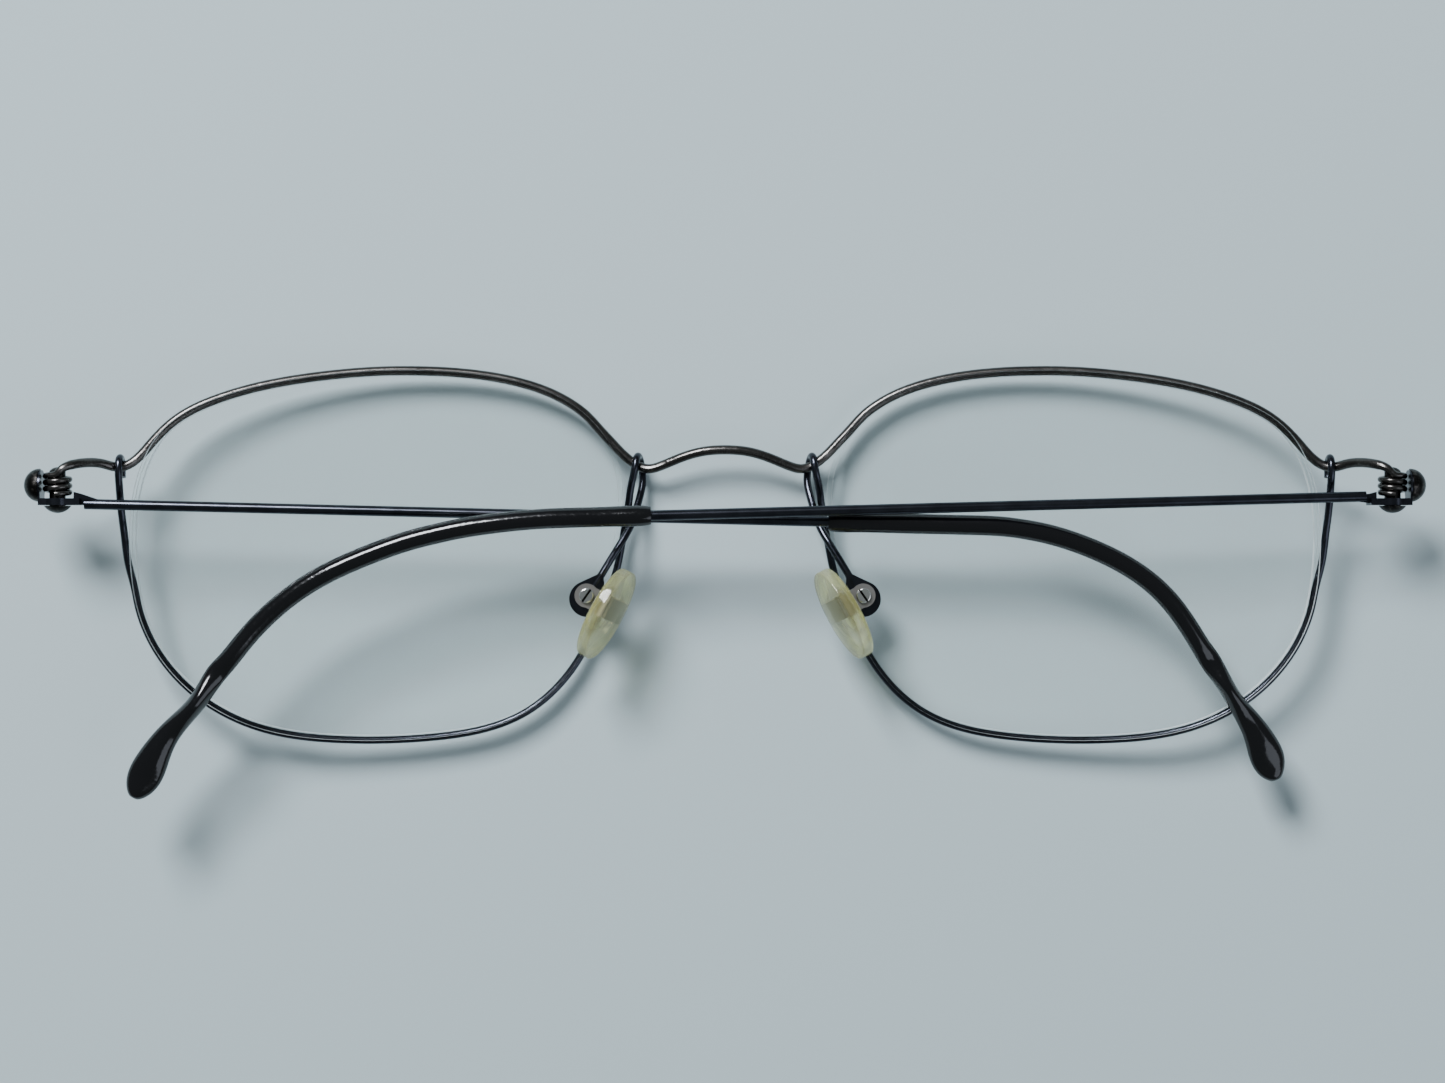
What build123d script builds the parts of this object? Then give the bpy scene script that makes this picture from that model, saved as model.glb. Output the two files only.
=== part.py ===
from build123d import *
import os
from math import asin, cos, pi, radians, sin, sqrt, tan

# Folded wire-rimmed eyeglasses lying on the front faces of their lenses.
# X runs across the face (wearer's right is +X), Y up towards the brow,
# Z from the lens fronts back towards the wearer. All sizes in millimetres.
# Every piece is drawn for the +X side and mirrored for the -X side.

# --- driving dimensions ---
sphere_radius = 130.0  # front surface of the lens, four-dioptre base curve
sphere_x = 26.0  # centre of that sphere, inboard of the lens middle: face wrap
sphere_z = sphere_radius  # the front vertex stands at z = 0
lens_thickness = 2.0
brow_radius = 0.48
rim_radius = 0.38
groove_play = 0.02
temple_radius = 0.52
core_play = 0.02

hinge_x = 66.0
hinge_z = 8.6
coil_inner = 0.86
coil_wire = 0.30
coil_pitch = 0.64
coil_turns = 3.0
coil_top = 8.0
pin_radius = 0.80
pin_head = 1.35
pin_bottom = 4.2
pin_top = 8.75
pin_dome = 0.4
plate_bottom = 4.98
plate_top = 5.66
plate_inner = 2.36  # how far the plate reaches inboard of the hinge axis
cap_radius = 1.65
cap_depth = 1.55
disc_start = 1.52  # the disc that carries the cap, just outside the coil
disc_end = 1.72
cap_centre_y = 6.95
right_lift = 1.7  # degrees: the right temple rests across the left one

pad_tilt = 20.0  # splay of the pad's face
pad_lean = 28.0  # lean of the pad's long axis
pad_length = 9.6
pad_width = 6.2
pad_centre = (11.75, -5.75, 8.1)
disc_centre = (13.75, -4.35, 5.35)
disc_radius = 1.8
disc_thickness = 0.7
tab_thickness = 0.4
screw_radius = 0.45
screw_head = 0.74

os.makedirs("parts", exist_ok=True)


def mid_z(x, y, depth=1.0):
    """Height of the sphere that lies `depth` behind the lens front."""
    radius = sphere_radius - depth
    return sphere_z - sqrt(radius**2 - (x - sphere_x) ** 2 - y**2)


def on_lens(x, y):
    """The point over x, y on the middle of the lens edge."""
    return (x, y, mid_z(x, y))


# --- lens outline, shared by the lens, its groove and the two wires ---
lens_points = [
    (33.3, 18.6),
    (20.4, 17.35),
    (13.9, 14.05),
    (10.75, 9.2),
    (10.35, 4.0),
    (11.9, -3.4),
    (14.6, -10.2),
    (20.2, -15.9),
    (29.5, -18.35),
    (38.5, -18.55),
    (47.0, -17.2),
    (53.9, -13.1),
    (57.95, -7.2),
    (59.3, 0.0),
    (58.8, 6.9),
    (56.0, 12.6),
    (50.4, 15.85),
    (42.3, 17.8),
]
with BuildLine() as lens_line:
    Spline(*lens_points, periodic=True)
outline = lens_line.edges()[0]


def along_edge(start, stop, count):
    """Points on the middle of the lens edge between two shares of its length."""
    shares = [start + (stop - start) * step / (count - 1) for step in range(count)]
    points = [outline @ (share % 1.0) for share in shares]
    return [on_lens(point.X, point.Y) for point in points]


def wire_sweep(curve, radius, mode=Mode.ADD, frenet=True):
    """A round bar of this radius along the curve, in the open part."""
    with BuildSketch(Plane(origin=curve @ 0, z_dir=curve % 0)) as section:
        Circle(radius)
    sweep(sections=section.sketch, path=curve, is_frenet=frenet, mode=mode)


def finish(piece, name):
    """Label the +X piece and its mirrored twin, and write both."""
    twin = mirror(piece.part, about=Plane.YZ, mode=Mode.PRIVATE)
    for part, side in ((piece.part, "right"), (twin, "left")):
        part.label = f"{name}_{side}"
        export_step(part, f"parts/{name}_{side}.step")


# --- lens: a curved shell cut to the outline, with a groove all round ---
groove_depth = brow_radius + groove_play
turned = (90, 0, 0)  # keeps the spheres' poles and seams off the lens


def outline_face():
    """The lens outline as a flat sketch."""
    with BuildSketch() as sketch:
        with BuildLine():
            add(outline.trim(0, 0.5))
            add(outline.trim(0.5, 1))
        make_face()
    return sketch.sketch


def inset_points(depth, count):
    """Points of the outline moved inwards by this depth."""
    points = []
    for step in range(count):
        share = step / count
        inward = (outline % share).rotate(Axis.Z, 90)
        points.append(outline @ share + inward * depth)
    return points


with BuildPart() as groove:
    with BuildSketch():
        add(outline_face())
        with BuildLine():
            Spline(*inset_points(groove_depth, 48), periodic=True)
        make_face(mode=Mode.SUBTRACT)
    extrude(amount=12)
    with Locations((sphere_x, 0, sphere_z)):
        Sphere(sphere_radius - lens_thickness / 2 + groove_depth, rotation=turned, mode=Mode.INTERSECT)
        Sphere(sphere_radius - lens_thickness / 2 - groove_depth, rotation=turned, mode=Mode.SUBTRACT)
with BuildPart() as lens:
    with BuildSketch():
        add(outline_face())
    extrude(amount=12)
    with Locations((sphere_x, 0, sphere_z)):
        Sphere(sphere_radius, rotation=turned, mode=Mode.INTERSECT)
        Sphere(sphere_radius - lens_thickness, rotation=turned, mode=Mode.SUBTRACT)
    add(groove.part, mode=Mode.SUBTRACT)
finish(lens, "lens")

# --- brow wire: bridge, over both lenses, end arms, hinge coils ---
coil_radius = coil_inner + coil_wire
points_per_turn = 12


def coil_point(step):
    """Point on the hinge coil, winding down from its top on the wearer's side."""
    turn = 2 * pi * step / points_per_turn
    drop = coil_pitch * step / points_per_turn
    return (
        hinge_x + coil_radius * sin(turn),
        coil_top - drop,
        hinge_z + coil_radius * cos(turn),
    )


bridge_points = [(0, 10.6, 3.5), (2.4, 10.4, 3.42), (4.6, 9.75, 3.15), (6.4, 9.02, 2.85), (7.8, 8.72, 2.62)]
nose_corner = [on_lens(9.2, 9.3), on_lens(10.25, 10.15), on_lens(11.45, 11.4), on_lens(12.7, 12.75)]
outer_corner = [on_lens(57.4, 11.1), on_lens(58.7, 9.65), on_lens(60.3, 8.8)]
end_arm = [(61.8, 9.1, 6.75), (63.2, 9.2, 8.1), (64.5, 8.95, 9.3), (65.4, 8.5, 9.78)]
coil = [coil_point(step) for step in range(int(coil_turns * points_per_turn) + 1)]
arm_and_coil = [*end_arm, *coil]
with BuildLine() as brow_line:
    Spline(
        *[(-x, y, z) for x, y, z in reversed(bridge_points[1:])],
        *bridge_points,
        *nose_corner,
        *along_edge(0.1435, -0.163, 22),
        *outer_corner,
        *arm_and_coil,
    )
brow_path = brow_line.edges()[0]
taper_start = brow_path.param_at_point(end_arm[2])
taper_end = brow_path.param_at_point(coil[1])
with BuildPart() as half_brow:
    wire_sweep(brow_path.trim(0, taper_start), brow_radius)
    taper = brow_path.trim(taper_start, taper_end)
    with BuildSketch(Plane(origin=taper @ 0, z_dir=taper % 0)) as thick_end:
        Circle(brow_radius)
    with BuildSketch(Plane(origin=taper @ 1, z_dir=taper % 1)) as thin_end:
        Circle(coil_wire)
    sweep(sections=[thick_end.sketch, thin_end.sketch], path=taper, multisection=True)
    wire_sweep(brow_path.trim(taper_end, 1), coil_wire)
    split(bisect_by=Plane.YZ)
with BuildPart() as brow_wire:
    add(half_brow.part)
    mirror(half_brow.part, about=Plane.YZ)
brow_wire.part.label = "brow_wire"
export_step(brow_wire.part, "parts/brow_wire.step")

# --- rim wire: hook, under the lens, hook, nose-pad arm, disc ---
outer_hook = on_lens(60.3, 8.8)
nose_hook = on_lens(8.75, 9.05)
hook_radius = brow_radius + rim_radius + 0.08


def hook_point(centre, degrees_round, sideways=0.0):
    """Point of a hook round the brow wire, from its rear side over the top."""
    turn = radians(degrees_round)
    return (
        centre[0] + sideways,
        centre[1] + hook_radius * sin(turn),
        centre[2] + hook_radius * cos(turn),
    )


x, y, z = outer_hook
outer_end = [
    (x - 0.02, y - 1.0, z - hook_radius + 0.05),
    hook_point(outer_hook, 180),
    hook_point(outer_hook, 135),
    hook_point(outer_hook, 90),
    hook_point(outer_hook, 45),
    hook_point(outer_hook, 0),
    (x - 0.02, y - 1.9, z + 0.62),
    (x - 0.1, y - 4.2, z + 0.02),
]
temporal_side = [on_lens(59.95, 2.0), on_lens(59.6, -0.7)]
nasal_side = [on_lens(11.95, -4.1), on_lens(11.1, -2.0), on_lens(10.55, 0.4), on_lens(10.1, 2.9)]
x, y, z = nose_hook
nose_end = [
    (9.7, 5.3, z + 0.1),
    (9.4, 7.2, z + 0.68),
    hook_point(nose_hook, 0, 0.25),
    hook_point(nose_hook, 45, 0.15),
    hook_point(nose_hook, 90, 0.0),
    hook_point(nose_hook, 135, -0.15),
    hook_point(nose_hook, 180, -0.3),
    (8.3, 7.7, z - 0.9),
]
pad_arm = [
    (8.5, 6.3, 2.0),
    (8.85, 4.9, 2.7),
    (9.5, 2.9, 3.8),
    (10.5, 1.1, 4.6),
    (11.6, -0.7, 5.1),
    (12.5, -2.2, disc_centre[2]),
    (13.1, -3.2, disc_centre[2]),
]
with BuildLine() as rim_line:
    Spline(
        *outer_end,
        *temporal_side,
        *along_edge(0.714, 0.294, 31),
        *nasal_side,
        *nose_end,
        *pad_arm,
    )
screw_place = (13.8, -4.0)
with BuildPart() as rim_wire:
    wire_sweep(rim_line.edges()[0], rim_radius)
    with BuildSketch(Plane.XY.offset(disc_centre[2] - disc_thickness / 2)):
        with Locations(disc_centre[:2]):
            Circle(disc_radius)
        with Locations(pad_arm[-2][:2]):
            Circle(rim_radius)
        make_hull()
        with Locations(screw_place):
            Circle(screw_radius + 0.01, mode=Mode.SUBTRACT)
    extrude(amount=disc_thickness)
finish(rim_wire, "rim_wire")

# --- nose pad, its metal core and the screw ---
lean = radians(pad_lean)
tilt = radians(pad_tilt)
long_axis = Vector(-sin(lean), cos(lean), 0)
outward = Vector(cos(lean), sin(lean), 0)
pad_normal = outward * -cos(tilt) + Vector(0, 0, sin(tilt))
pad_plane = Plane(origin=pad_centre, x_dir=long_axis, z_dir=pad_normal)
disc_top = disc_centre[2] + disc_thickness / 2
tab_bottom = disc_top + 0.03
reach = (Vector(*screw_place, 0) - Vector(*pad_centre[:2], 0)).dot(outward)
rise = pad_centre[2] - tab_bottom - tab_thickness / 2
foot = reach + rise * tan(tilt)
core_height = rise + 1.4
core_plane = Plane(
    origin=(*screw_place, tab_bottom + tab_thickness / 2), x_dir=-outward, z_dir=long_axis
)
with BuildPart() as pad_core:
    with BuildSketch(core_plane):
        with BuildLine() as core_line:
            Polyline((0, 0), (foot, 0), (foot - core_height * tan(tilt), core_height))
        trace(line_width=tab_thickness)
    extrude(amount=1.1, both=True)
    with BuildSketch(Plane.XY.offset(tab_bottom)):
        with Locations(screw_place):
            Circle(1.2)
    extrude(amount=tab_thickness)
    with BuildSketch(Plane.XY.offset(tab_bottom)):
        with Locations(screw_place):
            Circle(screw_radius + 0.04)
    extrude(amount=tab_thickness, mode=Mode.SUBTRACT)
finish(pad_core, "pad_core")

with BuildPart() as nose_pad:
    with BuildSketch(pad_plane.offset(-0.5)):
        Ellipse(pad_length / 2, pad_width / 2)
    extrude(amount=1.25)
    fillet(nose_pad.edges(), radius=0.5)
    with BuildSketch(pad_plane.offset(-1.5)):
        Ellipse(2.4, 1.7)
    extrude(amount=1.2)
    fillet(nose_pad.faces().sort_by(Axis(pad_centre, pad_normal))[0].edges(), radius=0.5)
    add(pad_core.part, mode=Mode.SUBTRACT)
finish(nose_pad, "nose_pad")

with BuildPart() as pad_screw:
    head_bottom = tab_bottom + tab_thickness + 0.03
    with BuildSketch(Plane.XY.offset(disc_top - disc_thickness - 0.5)):
        with Locations(screw_place):
            Circle(screw_radius)
    extrude(amount=head_bottom - disc_top + disc_thickness + 0.5)
    with BuildSketch(Plane.XY.offset(head_bottom)):
        with Locations(screw_place):
            Circle(screw_head)
    extrude(amount=0.42)
    fillet(pad_screw.faces().sort_by(Axis.Z)[-1].edges(), radius=0.14)
    with BuildSketch(Plane.XY.offset(head_bottom + 0.42)):
        with Locations(Location(screw_place, 125)):
            Rectangle(2 * screw_head, 0.22)
    extrude(amount=-0.22, mode=Mode.SUBTRACT)
finish(pad_screw, "pad_screw")

# --- temples, drawn round the hinge axis: x runs away from the other side ---
bend_right = [
    (-2.7, 5.85),
    (-85.2, 3.61),
    (-96.8, 2.1),
    (-109.5, -3.78),
    (-121.5, -18.6),
    (-124.3, -24.0),
]
bend_left = [
    (-2.7, 5.1),
    (-98.8, 2.8),
    (-109.25, -2.95),
    (-119.3, -18.35),
    (-120.9, -22.5),
]
bend_radii = {"right": (70.0, 48.0, 26.0, 12.0), "left": (30.0, 17.0, 12.0)}
tip_turn = radians(6)  # the bent tip leans towards the lens
tip_turn_y = 4.3
even_width = 1.0
flare = [(0.87, 1.07), (0.91, 1.38), (0.944, 1.68), (0.972, 1.58), (0.99, 1.1), (1.0, 0.5)]
tip_widths = [(0.0, 0.88), (0.012, even_width)]
tip_widths += [(step * 0.06, even_width) for step in range(1, 14)]
tip_widths += flare
tip_thickness = 1.05


def temple_path(bend, radii):
    """Centre line of a temple wire: straight, then two bends at the tip."""
    leaning = Plane(
        origin=(0, tip_turn_y, 0), x_dir=(1, 0, 0), z_dir=(0, -sin(tip_turn), cos(tip_turn))
    )
    with BuildLine(leaning) as line:
        FilletPolyline(*[(x, y - tip_turn_y) for x, y in bend], radius=radii)
    return line.wire()


def hinge_plane(lift):
    """Hinge axis frame on the +X side, with the temple lifted by this angle."""
    return Location((hinge_x, 0, hinge_z), (0, lift, 0))


def make_temple(path, start_y, core_end):
    """Wire, wedge, plate under the coil and end disc with its stud."""
    with BuildPart() as temple:
        wire_sweep(path.trim(0, core_end), temple_radius, frenet=False)
        with BuildSketch(Plane.XY):
            with BuildLine():
                Polyline(
                    (-1.65, 6.3),
                    (-2.4, 6.1),
                    (-5.0, start_y + 0.12),
                    (-5.0, start_y - 0.3),
                    (-1.65, plate_bottom + 0.1),
                    close=True,
                )
            make_face()
        extrude(amount=0.36, both=True)
        with BuildSketch(Plane.XZ.offset(-plate_bottom)):
            Circle(1.45)
            with Locations(((disc_end - plate_inner) / 2, 0)):
                Rectangle(disc_end + plate_inner, 2.3)
        extrude(amount=plate_bottom - plate_top)
        with BuildSketch(Plane.YZ.offset(disc_start)):
            with Locations((cap_centre_y, 0)):
                Circle(1.5)
            with Locations((cap_centre_y / 2 + plate_bottom / 2, 0)):
                Rectangle(cap_centre_y - plate_bottom, 2.3)
        extrude(amount=disc_end - disc_start)
        with BuildSketch(Plane.YZ.offset(disc_start)):
            with Locations((cap_centre_y, 0)):
                Circle(0.5)
        extrude(amount=1.1)
        with BuildSketch(Plane.XZ.offset(-plate_bottom + 1)):
            Circle(pin_radius + 0.01)
        extrude(amount=-2, mode=Mode.SUBTRACT)
    return temple


def make_tip(path, sleeve_start, bore_end):
    """Sleeve over the temple wire, flattening to a paddle."""
    sleeve = path.trim(sleeve_start, 1)
    with BuildPart() as tip:
        sections = []
        for share, width in tip_widths:
            direction = sleeve % share
            across = direction.cross(Vector(0, 0, 1))
            thickness = min(width, tip_thickness) * (0.9 if share > 0.96 else 1)
            with BuildSketch(Plane(origin=sleeve @ share, x_dir=across, z_dir=direction)) as section:
                Ellipse(width, max(thickness, 0.35))
            sections.append(section.sketch)
        loft(sections)
        bore = path.trim(sleeve_start, bore_end)
        wire_sweep(bore, temple_radius + core_play, Mode.SUBTRACT, frenet=False)
    return tip


def place(piece, side, lift=0.0):
    """Move a piece from the hinge frame to its place on the +X or -X side."""
    with BuildPart() as placed:
        with Locations(hinge_plane(lift)):
            add(piece.part)
    if side == "left":
        return mirror(placed.part, about=Plane.YZ, mode=Mode.PRIVATE)
    return placed.part


def dome_middle(width, height, centre_y, sign):
    """Halfway point of a dome's arc from its edge to its top on the axis."""
    radius = (width**2 + height**2) / (2 * height)
    half_turn = asin(width / radius) / 2
    return (radius * sin(half_turn), centre_y + sign * (radius * cos(half_turn) - radius))


with BuildPart() as hinge_pin:
    with BuildSketch(Plane.XY):
        with BuildLine():
            head_top = plate_bottom - 0.06
            Polyline((0, pin_top), (0, pin_bottom))
            ThreePointArc(
                (0, pin_bottom),
                dome_middle(pin_head, head_top - pin_bottom, pin_bottom, -1),
                (pin_head, head_top),
            )
            Polyline((pin_head, head_top), (pin_radius, head_top), (pin_radius, pin_top - pin_dome))
            ThreePointArc(
                (pin_radius, pin_top - pin_dome),
                dome_middle(pin_radius, pin_dome, pin_top, 1),
                (0, pin_top),
            )
        make_face()
    revolve(axis=Axis.Y)

with BuildPart() as hinge_cap:
    with BuildSketch(Plane.XY):
        with BuildLine():
            base = disc_end + 0.02
            rim = (base, cap_centre_y + cap_radius)
            Polyline((base + 1.0, cap_centre_y), (base + cap_depth, cap_centre_y))
            EllipticalCenterArc((base, cap_centre_y), cap_depth, cap_radius, start_angle=0, arc_size=90)
            Polyline(
                rim,
                (base, cap_centre_y + 0.51),
                (base + 1.0, cap_centre_y + 0.51),
                (base + 1.0, cap_centre_y),
            )
        make_face()
    revolve(axis=Axis((0, cap_centre_y, 0), (1, 0, 0)))

sides = {
    "right": (bend_right, 0.531, right_lift),
    "left": (bend_left, 0.564, 0.0),
}
for side, (bend, sleeve_start, lift) in sides.items():
    path = temple_path(bend, bend_radii[side])
    made = {
        "temple": make_temple(path, bend[0][1], 0.93),
        "temple_tip": make_tip(path, sleeve_start, 0.935),
        "hinge_pin": hinge_pin,
        "hinge_cap": hinge_cap,
    }
    for name, piece in made.items():
        placed = place(piece, side, lift)
        placed.label = f"{name}_{side}"
        export_step(placed, f"parts/{name}_{side}.step")
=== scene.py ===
import bpy
from math import cos, radians, sin
from mathutils import Matrix, Vector


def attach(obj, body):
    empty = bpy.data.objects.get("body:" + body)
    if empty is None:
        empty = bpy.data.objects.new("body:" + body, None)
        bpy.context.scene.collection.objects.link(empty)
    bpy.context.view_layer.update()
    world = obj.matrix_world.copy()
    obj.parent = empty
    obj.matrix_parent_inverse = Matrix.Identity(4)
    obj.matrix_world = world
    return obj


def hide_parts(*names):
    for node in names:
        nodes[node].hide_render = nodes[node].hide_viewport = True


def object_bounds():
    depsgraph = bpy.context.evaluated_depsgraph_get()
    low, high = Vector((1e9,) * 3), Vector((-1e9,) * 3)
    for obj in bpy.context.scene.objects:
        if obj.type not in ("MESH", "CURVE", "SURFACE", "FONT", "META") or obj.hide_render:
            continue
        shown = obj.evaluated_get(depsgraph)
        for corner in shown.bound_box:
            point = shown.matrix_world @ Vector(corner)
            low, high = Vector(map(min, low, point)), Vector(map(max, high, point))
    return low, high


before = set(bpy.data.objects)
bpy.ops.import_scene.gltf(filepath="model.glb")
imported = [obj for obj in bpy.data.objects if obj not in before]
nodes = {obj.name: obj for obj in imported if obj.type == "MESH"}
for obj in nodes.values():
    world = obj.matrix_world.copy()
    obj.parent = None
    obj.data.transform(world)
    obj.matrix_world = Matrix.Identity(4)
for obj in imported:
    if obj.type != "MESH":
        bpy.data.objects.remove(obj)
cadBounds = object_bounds()
mm = 0.001


def linear(hexColour):  # sRGB hex to the linear colour that a socket takes
    parts = [int(hexColour[i:i + 2], 16) / 255 for i in (1, 3, 5)]
    return tuple(p / 12.92 if p <= 0.04045 else ((p + 0.055) / 1.055) ** 2.4 for p in parts) + (1.0,)


def addNode(material, kind, settings=None, links=None, values=None):  # sockets by name or number
    node = material.node_tree.nodes.new(kind)
    for name, value in (settings or {}).items():
        setattr(node, name, value)
    for socket, value in (values or {}).items():
        node.inputs[socket].default_value = value
    for socket, source in (links or {}).items():
        material.node_tree.links.new(source, node.inputs[socket])
    return node


def newMaterial(name):
    material = bpy.data.materials.new(name)
    material.use_nodes = True
    material.node_tree.nodes.clear()
    return material


def finishMaterial(material, shader):
    addNode(material, "ShaderNodeOutputMaterial", links={"Surface": shader.outputs[0]})
    return material


# a Mix node's sockets: it has several called A and B, so the colour ones go by number
mixShare, toneA, toneB, mixedTone = 0, 6, 7, 2

browFinish = {
    "name": "antiqued drawn titanium", "lightTone": "#6a6764", "darkTone": "#2b2a29", "roughness": 0.25,
}
rimFinish = {
    "name": "blue-black drawn titanium", "lightTone": "#4c4f57", "darkTone": "#18191e", "roughness": 0.22,
}
drawing = {
    "patchSize": 2.2 * mm,  # size of the darker antiqued patches
    "scratchSize": 0.09 * mm,  # drawn-wire scratches, coarser than real so that they show
    "smoother": 0.08,  # how far the roughness goes below the finish's own
    "rougher": 0.1,  # and above it
}


def drawnTitanium(finish):  # beta-titanium wire, drawn, then antiqued dark: soft highlights, uneven tone
    material = newMaterial(finish["name"])
    place = addNode(material, "ShaderNodeTexCoord").outputs["Object"]
    patches = addNode(material, "ShaderNodeTexNoise", links={"Vector": place}, values={
        "Scale": 1 / drawing["patchSize"], "Detail": 3.0, "Roughness": 0.6})
    tone = addNode(material, "ShaderNodeMix", {"data_type": "RGBA"}, {mixShare: patches.outputs["Fac"]},
                   {toneA: linear(finish["darkTone"]), toneB: linear(finish["lightTone"])})
    grain = addNode(material, "ShaderNodeTexNoise", links={"Vector": place}, values={
        "Scale": 1 / drawing["scratchSize"], "Detail": 4.0, "Roughness": 0.7})
    bump = addNode(material, "ShaderNodeBump", links={"Height": grain.outputs["Fac"]}, values={
        "Strength": 0.12, "Distance": 0.01 * mm})
    rough = addNode(material, "ShaderNodeMapRange", links={"Value": grain.outputs["Fac"]}, values={
        "To Min": finish["roughness"] - drawing["smoother"],
        "To Max": finish["roughness"] + drawing["rougher"]})
    shader = addNode(material, "ShaderNodeBsdfPrincipled", links={
        "Base Color": tone.outputs[mixedTone], "Roughness": rough.outputs[0], "Normal": bump.outputs[0],
    }, values={"Metallic": 1.0})
    return finishMaterial(material, shader)


hingeFinish = {
    "tone": "#1f1e1d", "wornTone": "#5d5955", "roughness": 0.36,
    "spotSize": 0.6 * mm,  # the worn spots
    "wornFrom": 0.5, "wornFully": 0.72,  # noise levels at which wear starts and is complete
    "grainSize": 0.12 * mm,  # the plating's grain, coarser than real so that it shows
}


def platedHinge():  # nickel plated black, tarnished: dark, with greyer worn spots
    material = newMaterial("blackened nickel plating")
    place = addNode(material, "ShaderNodeTexCoord").outputs["Object"]
    spots = addNode(material, "ShaderNodeTexNoise", links={"Vector": place}, values={
        "Scale": 1 / hingeFinish["spotSize"], "Detail": 5.0, "Roughness": 0.65})
    wear = addNode(material, "ShaderNodeMapRange", links={"Value": spots.outputs["Fac"]}, values={
        "From Min": hingeFinish["wornFrom"], "From Max": hingeFinish["wornFully"]})
    tone = addNode(material, "ShaderNodeMix", {"data_type": "RGBA"}, {mixShare: wear.outputs[0]},
                   {toneA: linear(hingeFinish["tone"]), toneB: linear(hingeFinish["wornTone"])})
    grain = addNode(material, "ShaderNodeTexNoise", links={"Vector": place}, values={
        "Scale": 1 / hingeFinish["grainSize"], "Detail": 4.0})
    bump = addNode(material, "ShaderNodeBump", links={"Height": grain.outputs["Fac"]}, values={
        "Strength": 0.25, "Distance": 0.02 * mm})
    shader = addNode(material, "ShaderNodeBsdfPrincipled", links={
        "Base Color": tone.outputs[mixedTone], "Normal": bump.outputs[0],
    }, values={"Metallic": 1.0, "Roughness": hingeFinish["roughness"]})
    return finishMaterial(material, shader)


tipFinish = {
    "tone": "#08080a", "roughness": 0.1,
    "scuffSize": 0.25 * mm,
    "scuffsFrom": 0.45, "scuffsFully": 0.8,  # noise levels at which scuffs start and are complete
    "scuffRoughness": 0.16,  # what a scuff adds
    "waveSize": 3 * mm,  # slow waves that the tumbling leaves
}


def blackTips():  # injection-moulded cellulose plastic, tumbled to a deep gloss, with faint handling scuffs
    material = newMaterial("gloss black moulded plastic")
    place = addNode(material, "ShaderNodeTexCoord").outputs["Object"]
    scuffs = addNode(material, "ShaderNodeTexNoise", links={"Vector": place}, values={
        "Scale": 1 / tipFinish["scuffSize"], "Detail": 6.0, "Roughness": 0.7})
    rough = addNode(material, "ShaderNodeMapRange", links={"Value": scuffs.outputs["Fac"]}, values={
        "From Min": tipFinish["scuffsFrom"], "From Max": tipFinish["scuffsFully"],
        "To Min": tipFinish["roughness"], "To Max": tipFinish["roughness"] + tipFinish["scuffRoughness"]})
    waves = addNode(material, "ShaderNodeTexNoise", links={"Vector": place}, values={
        "Scale": 1 / tipFinish["waveSize"], "Detail": 1.0})
    bump = addNode(material, "ShaderNodeBump", links={"Height": waves.outputs["Fac"]}, values={
        "Strength": 0.1, "Distance": 0.1 * mm})
    shader = addNode(material, "ShaderNodeBsdfPrincipled", links={
        "Roughness": rough.outputs[0], "Normal": bump.outputs[0],
    }, values={"IOR": 1.5, "Base Color": linear(tipFinish["tone"])})
    return finishMaterial(material, shader)


tabFinish = {
    "tone": "#8f8c88", "roughness": 0.38,
    "grainSize": 0.07 * mm,  # satin grain, coarser than real so that it shows
}


def satinTab():  # stamped nickel silver sheet, satin, light warm grey
    material = newMaterial("satin nickel silver")
    place = addNode(material, "ShaderNodeTexCoord").outputs["Object"]
    grain = addNode(material, "ShaderNodeTexNoise", links={"Vector": place}, values={
        "Scale": 1 / tabFinish["grainSize"], "Detail": 3.0})
    bump = addNode(material, "ShaderNodeBump", links={"Height": grain.outputs["Fac"]}, values={
        "Strength": 0.15, "Distance": 0.01 * mm})
    shader = addNode(material, "ShaderNodeBsdfPrincipled", links={"Normal": bump.outputs[0]}, values={
        "Metallic": 1.0, "Roughness": tabFinish["roughness"], "Base Color": linear(tabFinish["tone"])})
    return finishMaterial(material, shader)


screwFinish = {
    "tone": "#e2e0dc", "grimeAndShadeTone": "#23211f", "turningSize": 0.05 * mm, "roughness": 0.16,
    "undarkenedAbove": 6.5 * mm,  # below this height it darkens: grime in the slot and painted shade on the sides under the head
    "fullyDarkBelow": 6.42 * mm,
}


def polishedScrew():  # turned stainless steel, polished, with dark grime in its slot and painted shade on the sides under its head
    material = newMaterial("polished stainless steel")
    place = addNode(material, "ShaderNodeTexCoord").outputs["Object"]
    split = addNode(material, "ShaderNodeSeparateXYZ", links={"Vector": place})
    # darker below a height: grime in the slot and painted shade on the sides under the head
    grimeAndShadeMask = addNode(material, "ShaderNodeMapRange", links={"Value": split.outputs["Z"]}, values={
        "From Min": screwFinish["undarkenedAbove"], "From Max": screwFinish["fullyDarkBelow"]})
    tone = addNode(material, "ShaderNodeMix", {"data_type": "RGBA"}, {mixShare: grimeAndShadeMask.outputs[0]},
                   {toneA: linear(screwFinish["tone"]), toneB: linear(screwFinish["grimeAndShadeTone"])})
    marks = addNode(material, "ShaderNodeTexNoise", links={"Vector": place}, values={
        "Scale": 1 / screwFinish["turningSize"], "Detail": 2.0})
    bump = addNode(material, "ShaderNodeBump", links={"Height": marks.outputs["Fac"]}, values={
        "Strength": 0.1, "Distance": 0.005 * mm})
    shader = addNode(material, "ShaderNodeBsdfPrincipled", links={
        "Base Color": tone.outputs[mixedTone], "Normal": bump.outputs[0],
    }, values={"Metallic": 1.0, "Roughness": screwFinish["roughness"]})
    return finishMaterial(material, shader)


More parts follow.
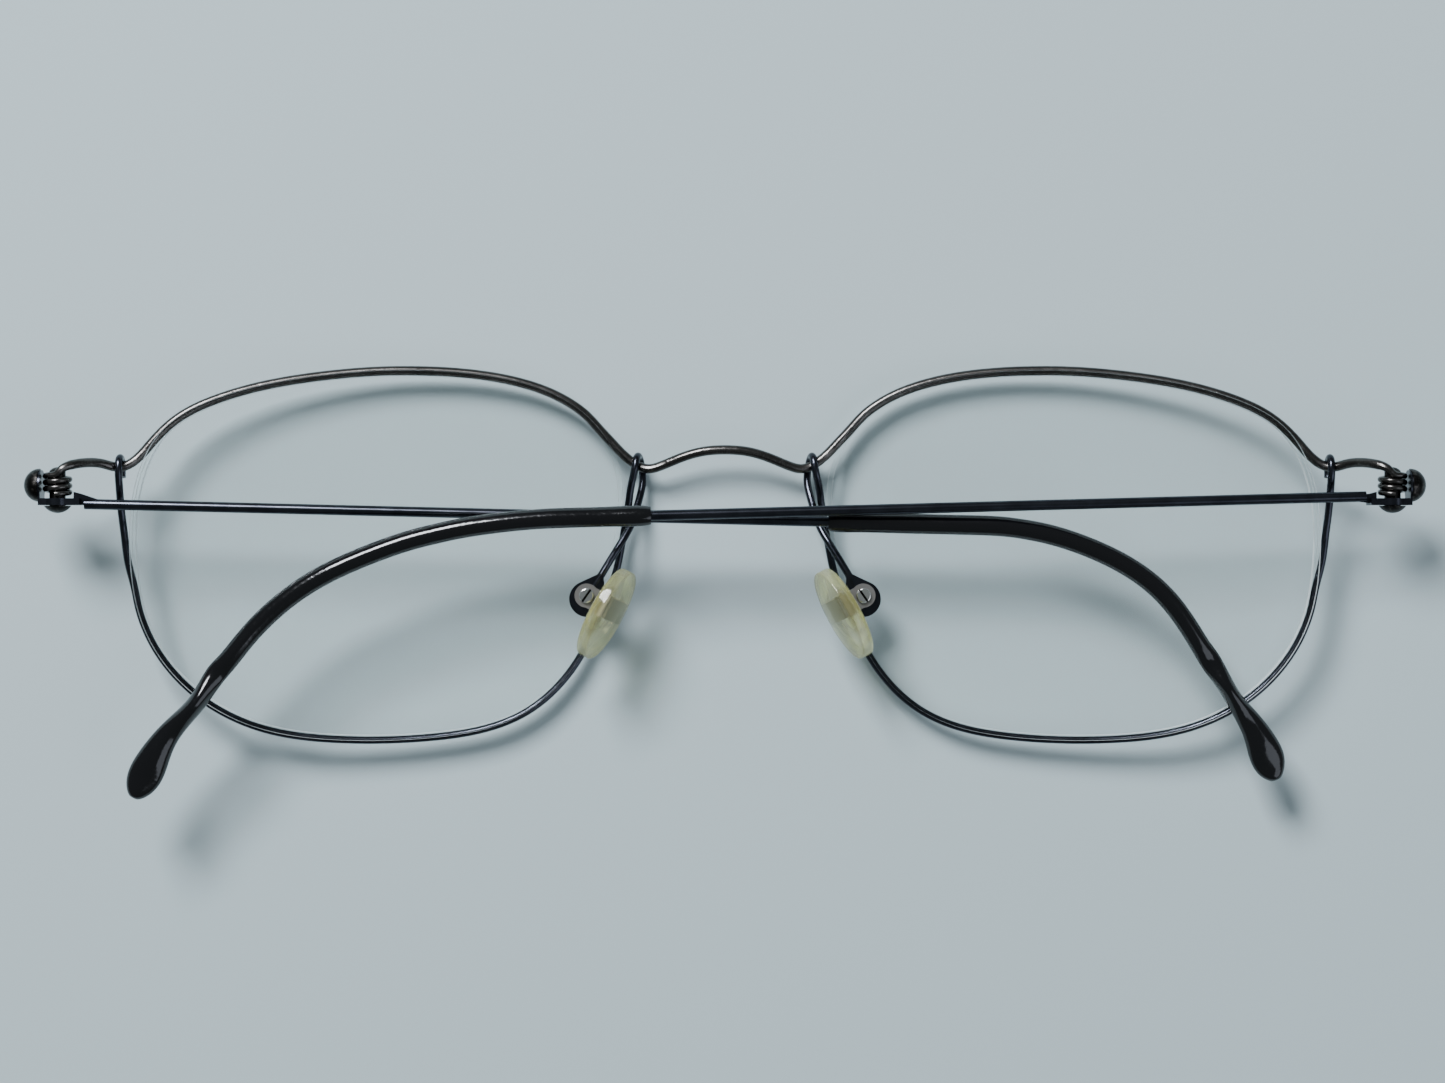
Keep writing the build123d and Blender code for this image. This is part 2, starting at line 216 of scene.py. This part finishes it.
lensFinish = {
    "clear": "#f3faf6", "roughness": 0.015, "alpha": 0.16, "clarity": 1.0,
    "edge": "#eef3f3", "edgeRoughness": 0.4, "edgeAlpha": 0.85, "edgeClarity": 0.35,
    "edgeFrom": 0.85, "edgeFully": 0.5,  # how upright the normal is where the edge starts and is complete
}


def clearLens():  # cast optical resin, coated: clear, faint green-grey, its ground edge frosted white
    material = newMaterial("coated clear lens resin")
    normal = addNode(material, "ShaderNodeTexCoord").outputs["Normal"]
    split = addNode(material, "ShaderNodeSeparateXYZ", links={"Vector": normal})
    facing = addNode(material, "ShaderNodeMath", {"operation": "ABSOLUTE"}, {0: split.outputs["Z"]})
    edge = addNode(material, "ShaderNodeMapRange", links={"Value": facing.outputs[0]}, values={
        "From Min": lensFinish["edgeFrom"], "From Max": lensFinish["edgeFully"]}).outputs[0]
    tone = addNode(material, "ShaderNodeMix", {"data_type": "RGBA"}, {mixShare: edge},
                   {toneA: linear(lensFinish["clear"]), toneB: linear(lensFinish["edge"])})
    rough = addNode(material, "ShaderNodeMapRange", links={"Value": edge}, values={
        "To Min": lensFinish["roughness"], "To Max": lensFinish["edgeRoughness"]})
    alpha = addNode(material, "ShaderNodeMapRange", links={"Value": edge}, values={
        "To Min": lensFinish["alpha"], "To Max": lensFinish["edgeAlpha"]})
    clarity = addNode(material, "ShaderNodeMapRange", links={"Value": edge}, values={
        "To Min": lensFinish["clarity"], "To Max": lensFinish["edgeClarity"]})
    shader = addNode(material, "ShaderNodeBsdfPrincipled", links={
        "Base Color": tone.outputs[mixedTone], "Roughness": rough.outputs[0], "Alpha": alpha.outputs[0],
        "Transmission Weight": clarity.outputs[0],
    }, values={"IOR": 1.5})
    return finishMaterial(material, shader)


padFinish = {
    "clear": "#ecebb0", "aged": "#d3cc78", "roughness": 0.07, "alpha": 0.72, "clarity": 0.85,
    "patchSize": 1.6 * mm,  # uneven yellowing
}


def agedPvc():  # moulded soft clear PVC, yellowed with age, unevenly, smooth and a little waxy
    material = newMaterial("yellowed clear PVC")
    place = addNode(material, "ShaderNodeTexCoord").outputs["Object"]
    patches = addNode(material, "ShaderNodeTexNoise", links={"Vector": place}, values={
        "Scale": 1 / padFinish["patchSize"], "Detail": 3.0, "Roughness": 0.6})
    tone = addNode(material, "ShaderNodeMix", {"data_type": "RGBA"}, {mixShare: patches.outputs["Fac"]},
                   {toneA: linear(padFinish["clear"]), toneB: linear(padFinish["aged"])})
    bump = addNode(material, "ShaderNodeBump", links={"Height": patches.outputs["Fac"]}, values={
        "Strength": 0.15, "Distance": 0.15 * mm})
    shader = addNode(material, "ShaderNodeBsdfPrincipled", links={
        "Base Color": tone.outputs[mixedTone], "Normal": bump.outputs[0],
    }, values={"Roughness": padFinish["roughness"], "IOR": 1.45, "Alpha": padFinish["alpha"],
               "Transmission Weight": padFinish["clarity"]})
    return finishMaterial(material, shader)


browMaterial = drawnTitanium(browFinish)
rimMaterial = drawnTitanium(rimFinish)
hingeMaterial = platedHinge()
tipMaterial = blackTips()
tabMaterial = satinTab()
screwMaterial = polishedScrew()
lensMaterial = clearLens()
padMaterial = agedPvc()

finishes = {
    "brow_wire": browMaterial, "rim_wire": rimMaterial, "temple": rimMaterial,
    "temple_tip": tipMaterial, "hinge_pin": hingeMaterial, "hinge_cap": hingeMaterial,
    "lens": lensMaterial, "nose_pad": padMaterial, "pad_core": tabMaterial,
    "pad_screw": screwMaterial,
}
for name, node in nodes.items():
    kind = name.removesuffix("_left").removesuffix("_right")
    node.data.materials.clear()
    node.data.materials.append(finishes[kind])
print("materials done")

# soft moulded nose pads, in place of the plain CAD ones
padShape = {
    "centre": (11.75 * mm, -5.75 * mm, 8.1 * mm),  # middle of the right pad's plate
    "lean": radians(28),  # of its long axis, away from upright
    "splay": radians(20),  # of its face, away from the nose's sides
    "length": 9.6 * mm,
    "width": 6.2 * mm,
    "thickness": 1.3 * mm,
    "dome": 0.45 * mm,  # how far the middle of the face stands proud
    "domeSteps": (0.5, 0.33, 0.17),  # share of the dome that each ring of the face rises
    "ringWidth": 0.27,  # of each ring, in half lengths of the pad
    "crownWidth": 0.08,  # of the last, level ring, in half lengths
    "dish": 0.3 * mm,  # hollow of the back, inside its rim
    "rimWidth": 0.55 * mm,
    "rimSlope": 0.25 * mm,  # width of the slope from the rim down into the dish
    "bossLength": 4.6 * mm,  # the block that holds the metal core
    "bossHeight": 1.0 * mm,
    "bossTaper": 0.82,
    "bossRings": (0.35 * mm, 0.8 * mm),  # rings on its top, which keep its edge crisp
    "rounding": 0.3 * mm,  # of the pad's own edges
}
levelNormal = 0.9  # a face whose normal is at least this upright is level


def deselectAll():
    if bpy.context.mode != "OBJECT":
        bpy.ops.object.mode_set(mode="OBJECT")
    bpy.ops.object.select_all(action="DESELECT")


def selectFaces(piece, test):  # picks faces by their normal, and stays in edit mode
    bpy.ops.mesh.select_all(action="DESELECT")
    bpy.ops.object.mode_set(mode="OBJECT")
    for face in piece.data.polygons:
        face.select = test(face.normal)
    bpy.ops.object.mode_set(mode="EDIT")


def makePad():  # lies flat, face up, round until the last resize makes it oval
    halfLength = padShape["length"] / 2
    deselectAll()
    bpy.ops.mesh.primitive_cylinder_add(vertices=48, radius=halfLength, depth=padShape["thickness"],
                                        location=(0, 0, 0))
    pad = bpy.context.object
    bpy.ops.object.mode_set(mode="EDIT")
    bpy.context.tool_settings.mesh_select_mode = (False, False, True)  # faces
    selectFaces(pad, lambda normal: normal.z > levelNormal)  # the face that lies on the nose
    for share in padShape["domeSteps"]:
        bpy.ops.mesh.inset(thickness=halfLength * padShape["ringWidth"], depth=0)
        bpy.ops.transform.translate(value=(0, 0, padShape["dome"] * share))
    bpy.ops.mesh.inset(thickness=halfLength * padShape["crownWidth"], depth=0)
    selectFaces(pad, lambda normal: normal.z < -levelNormal)  # the back, with its moulded rim
    bpy.ops.mesh.inset(thickness=padShape["rimWidth"], depth=0)
    bpy.ops.mesh.inset(thickness=padShape["rimSlope"], depth=0)
    bpy.ops.transform.translate(value=(0, 0, padShape["dish"]))
    dishWidth = halfLength - padShape["rimWidth"] - padShape["rimSlope"] - padShape["bossLength"] / 2
    bpy.ops.mesh.inset(thickness=dishWidth, depth=0)
    bpy.ops.mesh.extrude_region_move(TRANSFORM_OT_translate={"value": (0, 0, -padShape["bossHeight"])})
    bpy.ops.transform.resize(value=(padShape["bossTaper"], padShape["bossTaper"], 1))
    for ring in padShape["bossRings"]:
        bpy.ops.mesh.inset(thickness=ring, depth=0)
    bpy.ops.mesh.select_all(action="SELECT")
    bpy.ops.transform.resize(value=(1, padShape["width"] / padShape["length"], 1))
    bpy.ops.object.mode_set(mode="OBJECT")
    rounding = pad.modifiers.new("rounding", "BEVEL")
    rounding.width = padShape["rounding"]
    rounding.segments = 3
    rounding.limit_method = "ANGLE"
    rounding.angle_limit = radians(40)
    bpy.ops.object.modifier_apply(modifier="rounding")
    smoothing = pad.modifiers.new("smoothing", "SUBSURF")
    smoothing.levels = smoothing.render_levels = 1
    bpy.ops.object.modifier_apply(modifier="smoothing")
    bpy.ops.object.shade_smooth()
    return pad


def placePad(pad, name, side, body):  # side is 1 for the right pad and -1 for the left one
    lean, splay = padShape["lean"], padShape["splay"]
    longAxis = Vector((-sin(lean), cos(lean), 0))
    outward = Vector((cos(lean), sin(lean), 0))
    facing = -outward * cos(splay) + Vector((0, 0, sin(splay)))
    turn = Matrix((longAxis, facing.cross(longAxis), facing)).transposed().to_4x4()
    deselectAll()
    pad.select_set(True)
    bpy.context.view_layer.objects.active = pad
    pad.matrix_world = Matrix.Diagonal((side, 1, 1, 1)) @ Matrix.Translation(padShape["centre"]) @ turn
    bpy.ops.object.transform_apply(location=True, rotation=True, scale=True)
    bpy.ops.object.mode_set(mode="EDIT")
    bpy.ops.mesh.select_all(action="SELECT")
    bpy.ops.mesh.remove_doubles(threshold=0.001 * mm)
    bpy.ops.mesh.normals_make_consistent(inside=False)  # the mirrored pad comes out inside out
    bpy.ops.object.mode_set(mode="OBJECT")
    pad.name = name
    pad.data.materials.clear()
    pad.data.materials.append(padMaterial)
    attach(pad, body)
    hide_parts(f"nose_{body}")


rightPad = makePad()
leftPad = rightPad.copy()
leftPad.data = rightPad.data.copy()
bpy.context.scene.collection.objects.link(leftPad)
placePad(rightPad, "softPadRight", 1, "pad_right")
placePad(leftPad, "softPadLeft", -1, "pad_left")
print("nose pads done")

# floor, light and camera
stageSet = {
    "floorTone": "#a9b8ba", "floorRoughness": 0.85,
    "floorSize": 3.0,
    "floorGap": 0.02 * mm,  # below the lowest point of the glasses
    "worldTone": "#c9d4d8", "worldStrength": 0.3,
}


def paleFloor():  # matt painted board, plain
    material = newMaterial("pale matt floor")
    shader = addNode(material, "ShaderNodeBsdfPrincipled", values={
        "Roughness": stageSet["floorRoughness"], "Base Color": linear(stageSet["floorTone"])})
    return finishMaterial(material, shader)


deselectAll()
lowest = cadBounds[0][2]
bpy.ops.mesh.primitive_plane_add(size=stageSet["floorSize"], location=(0, 0, lowest - stageSet["floorGap"]))
floor = bpy.context.object
floor.name = "floor"
floor.data.materials.append(paleFloor())

world = bpy.data.worlds.new("studio")
bpy.context.scene.world = world
world.use_nodes = True
background = world.node_tree.nodes["Background"]
background.inputs["Color"].default_value = linear(stageSet["worldTone"])
background.inputs["Strength"].default_value = stageSet["worldStrength"]

lamps = {
    "windowLight": {"place": (-0.25, 0.45, 0.55), "size": 0.26, "power": 11.0, "tone": "#f4f8ff"},
    "fillLight": {"place": (0.5, -0.3, 0.5), "size": 0.6, "power": 2.0, "tone": "#e8f0ff"},
}
for name, lamp in lamps.items():
    place = Vector(lamp["place"])
    light = bpy.data.lights.new(name, "AREA")
    light.size = lamp["size"]
    light.energy = lamp["power"]
    light.color = linear(lamp["tone"])[:3]
    holder = bpy.data.objects.new(name, light)
    holder.location = place
    holder.rotation_euler = (-place).to_track_quat("-Z", "Y").to_euler()  # aimed at the glasses
    bpy.context.scene.collection.objects.link(holder)

view = {
    "middle": (-0.25 * mm, 1.39 * mm),  # what the lens axis points at
    "focusHeight": 5 * mm,
    "frameWidth": 144.5 * mm,  # width seen at that height
    "lens": 80.0,
    "sensor": 36.0,
    "nearest": 10 * mm,  # anything closer to the camera is cut off
}
camera = bpy.data.objects.new("camera", bpy.data.cameras.new("camera"))
bpy.context.scene.collection.objects.link(camera)
camera.data.lens = view["lens"]
camera.data.sensor_width = view["sensor"]
camera.data.clip_start = view["nearest"]
distance = view["frameWidth"] * view["lens"] / view["sensor"]
camera.location = (*view["middle"], view["focusHeight"] + distance)
bpy.context.scene.camera = camera
print("stage done")
